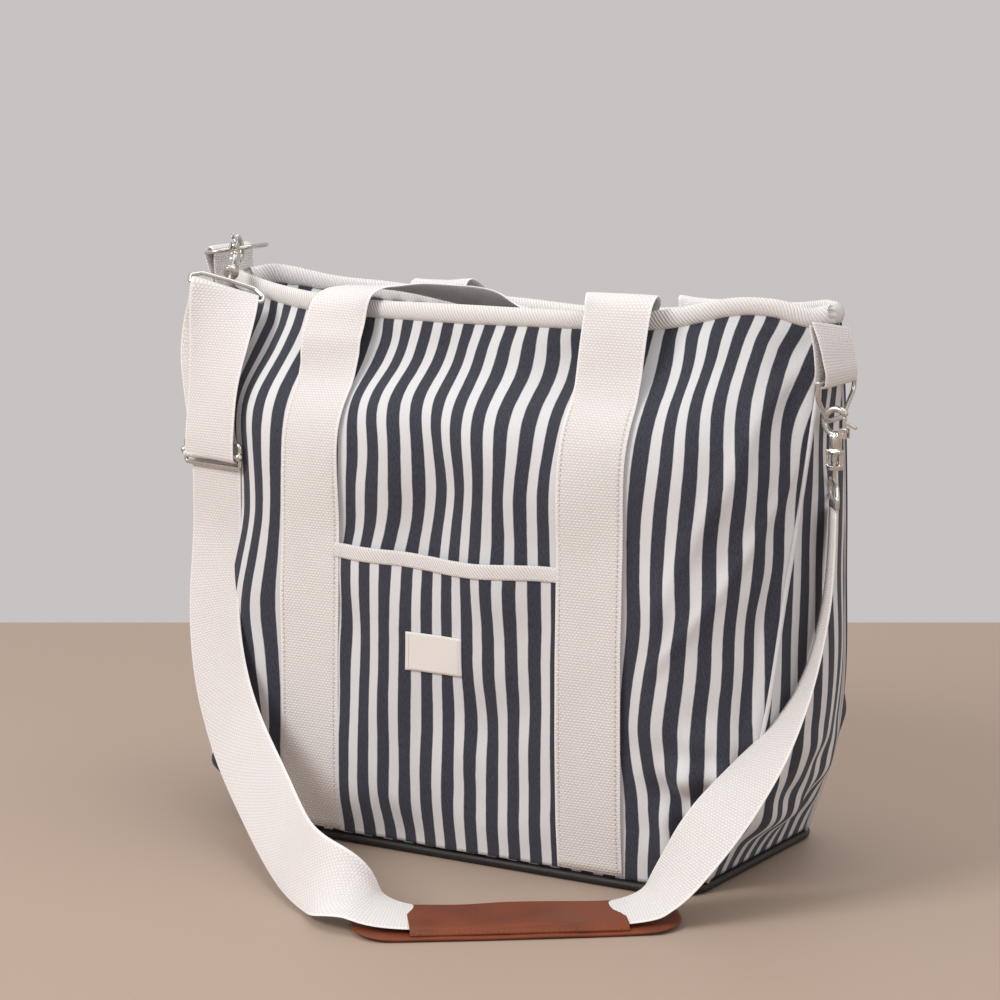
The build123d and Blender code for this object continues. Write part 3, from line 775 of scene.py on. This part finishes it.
def make_pocket():
    """Patch pocket and its bound edge."""
    cols, rows = 76, 84
    x = np.linspace(-POCKET_HALF, POCKET_HALF, cols)[None]
    z = np.linspace(8.0, POCKET_TOP - 4, rows)[:, None]
    x, z = np.broadcast_arrays(x, z)
    p = np.stack([x, pocket_y(x, z), z], -1)
    uv = np.stack([x + 5.0, z], -1)
    place_piece(cloth_sheet("front_pocket_cloth", p, uv, 1.1, CANVAS), "bag", "front_pocket")
    line_x = np.linspace(-POCKET_HALF, POCKET_HALF, 70)
    droop = -1.6 * (1 - (line_x / POCKET_HALF) ** 2) + 0.5 * Noise(31, 25, 10)(line_x, line_x * 0)
    line_z = POCKET_TOP - 5.5 + droop
    centres = np.stack([line_x, pocket_y(line_x, line_z) - 0.1, line_z], 1)
    edge = strip("pocket_binding_tape", centres, (0, 0.03, 1), TWILL, 10.5, 3.6, 28)
    place_piece(edge, "bag", "pocket_binding")
    seam = centres + np.array([0, -1.75, -3.4])
    place_piece(stitches("pocket_binding_stitches", seam, (0, -1, 0), 4.2, 3.0, 0.34), "bag")


LABEL_MIDDLE = (-7.0, 147.0)
LABEL_W, LABEL_H = 46.0, 27.0


def make_label():
    """Blank woven label sewn on at both short ends."""
    cols, rows = 24, 16
    x = LABEL_MIDDLE[0] + np.linspace(-LABEL_W / 2, LABEL_W / 2, cols)[None]
    z = LABEL_MIDDLE[1] + np.linspace(-LABEL_H / 2, LABEL_H / 2, rows)[:, None]
    x, z = np.broadcast_arrays(x, z)
    lift = 1.1 + 0.35 * np.cos((x - LABEL_MIDDLE[0]) / LABEL_W * math.pi)
    p = np.stack([x, pocket_y(x, z) - lift, z], -1)
    uv = np.stack([x, z], -1)
    place_piece(cloth_sheet("label_patch", p, uv, 0.7, LABEL), "bag", "label")
    rows_of = []
    for end in (-1, 1):
        line_z = np.linspace(LABEL_MIDDLE[1] - LABEL_H / 2 + 1, LABEL_MIDDLE[1] + LABEL_H / 2 - 1, 12)
        line_x = np.full_like(line_z, LABEL_MIDDLE[0] + end * (LABEL_W / 2 - 2.4))
        line = np.stack([line_x, pocket_y(line_x, line_z) - 1.35, line_z], 1)
        rows_of.append(stitches("label_row", line, (0, -1, 0), 2.4, 1.7, 0.22))
    place_piece(join("label_stitches", rows_of), "bag")


# ---- handles ----
def spline(points, count):
    """Even points on a smooth curve through given points."""
    points = np.asarray(points, float)
    along = travelled(points[:, :3])
    fine = np.linspace(0, along[-1], count)
    return np.stack([smooth_curve(along, points[:, k], fine) for k in range(points.shape[1])], 1)


def leg_line(grid, sign, x):
    """Sewn leg from the base up to the stitch line: centres and width directions."""
    z = np.linspace(9.0, STITCH_Z, 60)
    left, right = surface_y(grid, x - 21.0, z), surface_y(grid, x + 21.0, z)
    middle = surface_y(grid, x, z)
    y = np.where(np.abs(middle) > np.abs((left + right) / 2), middle, (left + right) / 2)
    centres = np.stack([np.full_like(z, x), y + sign * 1.5, z], 1)
    across = np.stack([np.full_like(z, 42.0), right - left, 0 * z], 1)
    return centres, unit(across)


# each handle's free loop: middle points, then the width direction at each
FRONT_LOOP = [
    (-113, -77, 352), (-113, -69, 368), (-112.5, -64, 379), (-110.5, -56, 386), (-106, -45, 388.5),
    (-96, -29, 388), (-82, -13, 386.5), (-66, -1, 383.5), (-50, 6, 381), (-34, 10, 380),
    (-18, 13, 378.5), (2, 14, 374), (22, 14, 371.5), (40, 12, 371.5), (58, 9, 372), (73, -1, 375),
    (86, -13, 380), (97, -29, 388), (105, -44, 394.5), (110, -55, 396), (112.5, -63.5, 392),
    (113, -69, 380), (113, -77, 352)]
FRONT_WIDTHS = [
    (1, 0, 0), (1, 0, 0), (1, -0.04, 0), (1, -0.16, 0.0), (1, -0.32, 0.02),
    (0.88, -0.55, 0.08), (0.66, -0.72, 0.2), (0.42, -0.84, 0.33), (0.2, -0.88, 0.42),
    (0.06, -0.9, 0.45), (0, -0.92, 0.4), (0, -0.97, 0.22), (0, -1, 0.06), (-0.15, -0.98, 0),
    (-0.35, -0.93, 0), (-0.56, -0.82, 0), (-0.75, -0.66, 0), (-0.9, -0.42, 0), (-1, -0.22, 0),
    (-1, -0.1, 0), (-1, -0.03, 0), (-1, 0, 0), (-1, 0, 0)]
BACK_LOOP = mirrored([
    (-113, 77, 352), (-113, 69, 368), (-113, 65.5, 377), (-113, 67, 382.5), (-112.2, 73, 384),
    (-109, 82, 378), (-102, 94, 360), (-94, 104, 338), (-84, 111, 315), (-71, 116, 288),
    (-52, 118.5, 264), (-27, 120, 250), (0, 120.5, 245)])
BACK_WIDTHS = mirrored([(1, 0, 0)] * 5 + [
    (1, 0, 0.02), (1, 0, 0.1), (1, 0, 0.22), (0.95, 0, 0.35), (0.85, 0, 0.55), (0.6, 0, 0.8),
    (0.3, 0, 0.95), (0, 0, 1)])


def make_handle(word, grid, sign, loop, widths, seed, cut=0):
    """One handle: leg, free loop and leg as a single webbing, or cut at that row into three."""
    left, left_w = leg_line(grid, sign, -LEG_X)
    right, right_w = leg_line(grid, sign, LEG_X)
    free = spline(np.concatenate([np.asarray(loop, float), np.asarray(widths, float)], 1), 150)
    line = np.concatenate([left, free[:, :3], right[::-1]])
    across = np.concatenate([left_w, free[:, 3:], -right_w[::-1]])
    for _ in range(3):
        eased = np.concatenate([line[:1], (line[:-2] + 2 * line[1:-1] + line[2:]) / 4, line[-1:]])
        line = np.where((line[:, 2] > STITCH_Z - 12)[:, None], eased, line)
    drift = Noise(seed, 30, 55)
    sewn = 0 if cut else 345

    def waves(u, v):
        total = v.max()
        loose = ramp(v, sewn, sewn + 45) * (1 - ramp(v, total - sewn - 45, total - sewn))
        return 0.9 * drift(u, v) * loose + 0.25 * drift(u * 2, v * 1.5)

    nodes = [f"{word}_handle_leg_left", f"{word}_handle_leg_right", f"{word}_handle_loop"]
    if cut:
        for node, part in ((nodes[0], slice(None, cut)), (nodes[1], slice(-cut, None))):
            leg = strip(f"{node}_webbing", line[part], across[part], WEBBING, WEB, TAPE_THICK, 44)
            place_piece(leg, "bag", node)
        nodes = nodes[2:]
        line, across = line[cut - 1:1 - cut], across[cut - 1:1 - cut]
    body_mesh = strip(f"{word}_handle_webbing", line, across, WEBBING, WEB, TAPE_THICK, 44, waves)
    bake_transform(body_mesh)
    place_piece(body_mesh, None, *nodes)
    rows = []
    for centres, across_leg in ((left, left_w), (right, right_w)):
        normal = np.array([0, sign, 0])
        for edge in (-1, 1):
            rows.append(stitches("row", centres + across_leg * edge * 21.6 + normal * 1.15, normal))
        top = centres[-1]
        t = np.linspace(-1, 1, 12)[:, None]
        for drop in (2.0, 7.0):
            cross = top + across_leg[-1] * t * 21.0 + np.array([0, sign * 1.2, -drop])
            cross[:, 1] += (centres[-3, 1] - top[1]) * drop / 12
            rows.append(stitches("row", cross, normal))
    place_piece(join(f"{word}_handle_stitches", rows), "bag")


def make_handles():
    """Front handle thrown back over the mouth, back handle hanging behind."""
    make_handle("front", FRONT, -1, FRONT_LOOP, FRONT_WIDTHS,
                201)
    make_handle("back", BACK, 1, BACK_LOOP, BACK_WIDTHS,
                202, 62)


# ---- strap ----
# each row: middle point, then the width direction
ROUTE = [
    (251.5, -20, 258.0, 0.50, -0.86, 0),
    (252.5, -23, 222, 0.50, -0.86, 0),
    (252.5, -31, 186, 0.50, -0.86, 0.02),
    (250, -46, 150, 0.50, -0.82, 0.05),
    (243, -70, 118, 0.52, -0.74, -0.12),
    (231, -98, 88, 0.58, -0.62, -0.35),
    (214, -126, 55, 0.62, -0.50, -0.52),
    (198, -142, 24, 0.60, -0.62, -0.40),
    (183, -153.4, 4.8, 0.59, -0.80, 0),
    (116, -203, 4.4, 0.595, -0.804, 0),
    (49, -252.6, 4.8, 0.59, -0.80, 0),
    (14, -258, 22, 0.45, -0.65, -0.60),
    (-26, -240, 26, -0.10, -0.40, -0.90),
    (-66, -206, 32, -0.42, -0.25, -0.87),
    (-112, -166, 48, -0.72, -0.10, -0.68),
    (-158, -133, 76, -0.90, 0.05, -0.42),
    (-187, -113, 114, -0.97, 0.10, -0.20),
    (-203, -97, 160, -0.98, 0.16, -0.06),
    (-208, -84.2, 204, -0.98, 0.19, 0),
    (-208, -83.2, 232, -0.98, 0.19, 0),
    (-208, -83.2, 262, -0.98, 0.19, 0),
]
ADJUSTER = [
    (-208.2, -83.0, 259, -0.98, 0.19, 0),
    (-215, -77, 285, -0.98, 0.19, 0),
    (-229, -65, 320, -0.97, 0.22, 0.05),
    (-236, -55, 346, -0.95, 0.10, 0.15),
    (-224, -53, 370, -0.85, -0.35, 0.28),
    (-216.5, -57.5, 383.0, -0.78, -0.55, 0.30),
    (-213.3, -61.6, 386.4, -0.78, -0.55, 0.30),
    (-211.2, -66.0, 384.0, -0.80, -0.50, 0.28),
    (-207.0, -76.0, 360, -0.93, -0.15, 0.12),
    (-208, -86, 320, -0.98, 0.19, 0),
    (-208, -92.2, 282, -0.98, 0.19, 0),
    (-208, -92.6, 270, -0.98, 0.19, 0),
    (-208, -92.0, 264.6, -0.98, 0.19, 0),
    (-208, -87.6, 264.4, -0.98, 0.19, 0),
]


def nurbs_points(name, points):
    """Points of a smooth line with the route's points as its control points."""
    curve = bpy.data.curves.new(name, "CURVE")
    curve.dimensions = "3D"
    line = curve.splines.new("NURBS")
    line.points.add(len(points) - 1)
    for point, place in zip(line.points, points):
        point.co = (*(place * MM), 1)
    line.order_u = 3
    line.use_endpoint_u = True
    line.resolution_u = 12
    obj = add_object(name, curve)
    bpy.context.view_layer.update()
    data = bpy.data.meshes.new_from_object(obj)
    found = np.array([v.co for v in data.vertices]) / MM
    bpy.data.objects.remove(obj)
    bpy.data.meshes.remove(data)
    return found


def band(name, route, seed):
    """Webbing along a route of middle points and width directions, and its centre line."""
    points, widths = np.split(np.array(route, float), 2, axis=1)
    middle = nurbs_points(f"{name}_middle", points)
    edge = nurbs_points(f"{name}_edge", points + WEB / 2 * unit(widths))
    drift = Noise(seed, 60, 40)

    def waves(u, v):
        return 0.35 * drift(u, v)

    return strip(name, middle, edge - middle, WEBBING, WEB, STRAP_THICK, 40, waves), middle


def make_strap():
    """Shoulder strap from the right hook through the pad to the slider, and the doubled end."""
    strap, line = band("shoulder_strap_webbing", ROUTE, 301)
    length = float(travelled(line)[-1]) * MM
    place_piece(strap, "bag", "shoulder_strap")
    loop, _ = band("strap_adjuster_webbing", ADJUSTER, 302)
    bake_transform(loop)
    place_piece(loop, None, "strap_adjuster_loop")
    return strap, line, loop, length


# ---- tabs ----
def make_tabs():
    """Webbing tabs folded round each D-ring's bar."""
    left = [(-242.5, 0, 345), (-247.5, 0, 356), (-251.6, 0, 372), (-253.6, 0, 387),
            (-257.4, 0, 398), (-258.6, 0, 405.0), (-255.4, 0, 409.6), (-251.6, 0, 407.4),
            (-250.9, 0, 399), (-249.8, 0, 387), (-248.4, 0, 374), (-246.4, 0, 364)]
    right = [(245.5, -16, 381), (250.2, -18, 371), (253.8, -19.5, 360), (256.2, -20, 349),
             (255.0, -20, 343.4), (251.6, -20, 342.2), (248.8, -20, 345.4), (248.4, -20, 354),
             (246.6, -18.5, 366), (243.0, -16, 378)]
    for word, points in (("left", left), ("right", right)):
        line = spline(points, 70)
        tab = strip(f"{word}_tab_webbing", line, (0, 1, 0), WEBBING, WEB - 1.0, 1.9, 40)
        place_piece(tab, "bag", f"{word}_tab")


# ---- shoulder pad ----
PAD_TURN = math.radians(36.5)
PAD_MIDDLE = (116.0, -203.0)
PAD_L, PAD_W, SLEEVE_L, SLEEVE_W = 216.0, 70.0, 142.0, 62.0


def pad_place(local):
    """Points of the pad's own frame in the bag's frame."""
    local = np.asarray(local, float)
    c, s = math.cos(PAD_TURN), math.sin(PAD_TURN)
    x = PAD_MIDDLE[0] + local[..., 0] * c - local[..., 1] * s
    y = PAD_MIDDLE[1] + local[..., 0] * s + local[..., 1] * c
    return np.stack([x, y, local[..., 2]], -1)


def make_pad():
    """Leather pad: an oval base and a stitched sleeve that the strap runs through."""
    around = 120
    t = np.linspace(0, 2 * math.pi, around, endpoint=False)
    c, s = np.cos(t), np.sin(t)
    straight = (PAD_L - PAD_W) / 2
    outline_x = np.sign(c) * straight * np.clip(np.abs(c) * 3.0, 0, 1)
    outline_x = outline_x + squared(c, 2.6) * PAD_W / 2
    outline_y = squared(s, 2.6) * PAD_W / 2
    thick = 2.4
    # from the middle of the top over the rounded edge to the middle of the underside
    profile = [(0.0, thick), (0.5, thick), (0.85, thick), (0.955, thick), (0.985, thick * 0.86),
               (1.0, thick * 0.5), (0.985, thick * 0.14), (0.955, 0.05), (0.5, 0.05), (0.0, 0.05)]
    p = np.zeros((len(profile), around, 3))
    for i, (share, z) in enumerate(profile):
        x, y = outline_x * share, outline_y * share
        lift = 1.6 * ramp(np.abs(x), PAD_L / 2 - 34, PAD_L / 2) * ramp(share, 0.3, 1.0)
        p[i] = np.stack([x, y, z + lift + 0.15 * np.sin(x * 0.09)], 1)
    uv = np.stack([p[..., 0], p[..., 1]], -1)
    faces = [f[::-1] for f in grid_faces(len(profile), around, wrap_cols=True)]
    base = mesh("pad_base_leather", pad_place(p).reshape(-1, 3), faces, uv.reshape(-1, 2), TAN)
    modify(base, "WELD", merge_threshold=0.05 * MM)
    place_piece(base, "shoulder_pad", "shoulder_pad_base")
    # sleeve: an arch over the strap whose edges are stitched down to the base
    cols, rows = 64, 60
    s = np.linspace(-1, 1, cols)[None]
    x = np.linspace(-SLEEVE_L / 2, SLEEVE_L / 2, rows)[:, None]
    s, x = np.broadcast_arrays(s, x)
    arch = 1 - ramp(np.abs(s), 0.78, 0.93)
    ripple = 0.35 * np.sin(x * 0.07 + 0.5) + 0.25 * Noise(61, 20, 20)(x, s * 30)
    z = thick + 1.4 + arch * (3.2 + ripple)
    y = s * SLEEVE_W / 2
    top = pad_place(np.stack([x, y, z], -1))
    sleeve = cloth_sheet("pad_sleeve_leather", top, np.stack([x, y], -1), 1.35, TAN, True)
    modify(sleeve, "BEVEL", width=0.3 * MM, segments=2, limit_method="ANGLE")
    place_piece(sleeve, "shoulder_pad", "shoulder_pad_sleeve")
    rows_of = []
    line_x = np.linspace(-SLEEVE_L / 2 + 2, SLEEVE_L / 2 - 2, 60)
    for side in (-1, 1):
        line_y = np.full_like(line_x, side * SLEEVE_W / 2 * 0.955)
        line = pad_place(np.stack([line_x, line_y, np.full_like(line_x, thick + 1.5)], 1))
        rows_of.append(stitches("pad_row", line, (0, 0, 1), 3.6, 2.6, 0.3, 0.1, TAN_THREAD))
    place_piece(join("pad_stitches", rows_of), "shoulder_pad", slot="tan_leather")
    return base, sleeve


# ---- CAD parts that keep their shape ----
def dress_cad_parts():
    """Materials of the hard parts."""
    wear = {SLOT[look]: look for look in (NICKEL, BLACK, BOARD, ZIP_TAPE)}
    for entry in frame["record"]["subparts"]:
        material = wear.get(entry["material_slot"])
        if material is None:
            continue
        data = frame["nodes"][entry["node"]].data
        data.materials.clear()
        data.materials.append(material)


# ---- cast hooks ----
# each hook's eye, the direction from its tail to the eye, and the pin's direction
HOOKS = {"left": ((-232.75, -18.88, 409.41), (-0.36, 0.78, 0.5), (-0.93, -0.33, -0.14)),
         "right": ((252.86, -20.0, 317.39), (0.02, 0, 1), (0, -1, 0))}
# swells of the casting: place along the hook from its eye, and radii (side, length, across)
SWELLS = [(-13.5, (4.3, 7.6, 3.7)), (-20.2, (6.4, 2.1, 3.9)),
          (-29.4, (6.1, 1.1, 6.1)), (-31.6, (5.7, 1.0, 5.7))]
BODY_VOXEL, BODY_SMOOTH = 0.25, 9
GATE_VOXEL, GATE_SMOOTH = 0.2, 5


def blob(middle, axes, radii):
    """Ellipsoid with its own axes, as points and faces."""
    around, rings = 24, 13
    t = np.linspace(0, 2 * math.pi, around, endpoint=False)[None]
    h = np.linspace(-0.499 * math.pi, 0.499 * math.pi, rings)[:, None]
    local = np.stack([np.cos(h) * np.cos(t), np.sin(h) + 0 * t, np.cos(h) * np.sin(t)], -1)
    p = (middle + local * radii @ axes).reshape(-1, 3)
    faces = grid_faces(rings, around, wrap_cols=True)
    faces += [tuple(range(around - 1, -1, -1)), tuple((rings - 1) * around + i for i in range(around))]
    return p, [f[::-1] for f in faces]


def cast_piece(node, body, parts, voxel, smooth):
    """Casting over a CAD part: its mesh and the swells melted together with soft edges."""
    cad = frame["nodes"][node]
    whole = add_object(f"{node}_cast", cad.data.copy())
    whole.matrix_world = cad.matrix_world.copy()
    whole = join(whole.name, [whole] + [mesh("swell", p, f, None, NICKEL) for p, f in parts])
    whole.data.materials.clear()
    whole.data.materials.append(NICKEL)
    modify(whole, "REMESH", mode="VOXEL", voxel_size=voxel * MM, use_smooth_shade=True)
    modify(whole, "SMOOTH", iterations=smooth, factor=0.5)
    place_piece(whole, body, node)


def make_hooks():
    """Hook bodies and gates with the soft edges of polished castings."""
    for word, (eye, up, across) in HOOKS.items():
        across = unit(across)
        up = unit(np.array(up) - across * np.dot(up, across))
        axes = np.array([np.cross(up, across), up, across])
        swells = [blob(np.array(eye) + up * down, axes, radii) for down, radii in SWELLS]
        cast_piece(f"{word}_hook_body", f"{word}_hook", swells, BODY_VOXEL, BODY_SMOOTH)
        cast_piece(f"{word}_hook_gate", f"{word}_gate", [], GATE_VOXEL, GATE_SMOOTH)


# ---- stage, light and camera ----
AZIMUTH, PITCH = math.radians(31.2), math.radians(9.76)
DISTANCE, AIM = 2.233, Vector((-0.014, -0.0084, 0.2395))
LENS = 112.97


def make_stage():
    """Plain pale floor; the pale surround behind it is the world's colour."""
    back = Vector((-math.sin(AZIMUTH), math.cos(AZIMUTH), 0))
    side = Vector((math.cos(AZIMUTH), math.sin(AZIMUTH), 0))
    far, near, wide, low = 0.71, -3.2, 4.0, -0.0004
    matt = Nodes("stage_floor").finish(srgb(172, 153, 138), 0.55, specular=0.2)
    corners = [tuple((side * a + back * b + Vector((0, 0, low))) / MM)
               for a, b in ((-wide, near), (wide, near), (wide, far), (-wide, far))]
    floor = mesh("stage_floor", corners, [(0, 1, 2, 3)], None, matt)


def make_light(name, place, aim, size, power, color=(1, 1, 1)):
    """Soft rectangular light."""
    data = bpy.data.lights.new(name, "AREA")
    data.shape = "RECTANGLE"
    data.size, data.size_y = size
    data.energy = power
    data.color = color
    obj = add_object(name, data)
    obj.location = place
    obj.rotation_euler = (Vector(aim) - Vector(place)).to_track_quat("-Z", "Y").to_euler()


def make_camera():
    """Camera at the viewing angle of the reference."""
    data = bpy.data.cameras.new("camera")
    data.lens, data.sensor_width = LENS, 36.0
    obj = add_object("camera", data)
    out = math.cos(PITCH)
    back = Vector((math.sin(AZIMUTH) * out, -math.cos(AZIMUTH) * out, math.sin(PITCH)))
    obj.location = AIM + back * DISTANCE
    obj.rotation_euler = (-back).to_track_quat("-Z", "Y").to_euler()
    bpy.context.scene.camera = obj


def make_lights():
    """Soft studio light from the upper left front, with a weak fill and a pale surround."""
    world = bpy.data.worlds.new("studio")
    world.use_nodes = True
    surround = world.node_tree.nodes["Background"].inputs
    surround["Color"].default_value = (*srgb(236, 231, 230), 1)
    surround["Strength"].default_value = 0.68
    bpy.context.scene.world = world
    make_light("key", (-1.1, -2.4, 2.1), (0, 0, 0.15), (1.3, 1.3), 62, (1, 0.985, 0.97))
    make_light("fill", (2.4, -1.2, 1.3), (0, 0, 0.2), (1.8, 1.8), 12, (0.97, 0.98, 1))
    make_light("top", (0.2, 0.4, 2.6), (0, 0, 0), (2.4, 2.4), 26)


bpy.context.scene.view_settings.view_transform = "Standard"
make_camera()
make_stage()
make_lights()
strap, strap_line, adjuster, strap_length = make_strap()
pad_base, pad_sleeve = make_pad()
make_panels()
make_lining()
make_rim()
make_top()
make_zip()
make_pocket()
make_label()
make_handles()
make_tabs()
dress_cad_parts()
make_hooks()
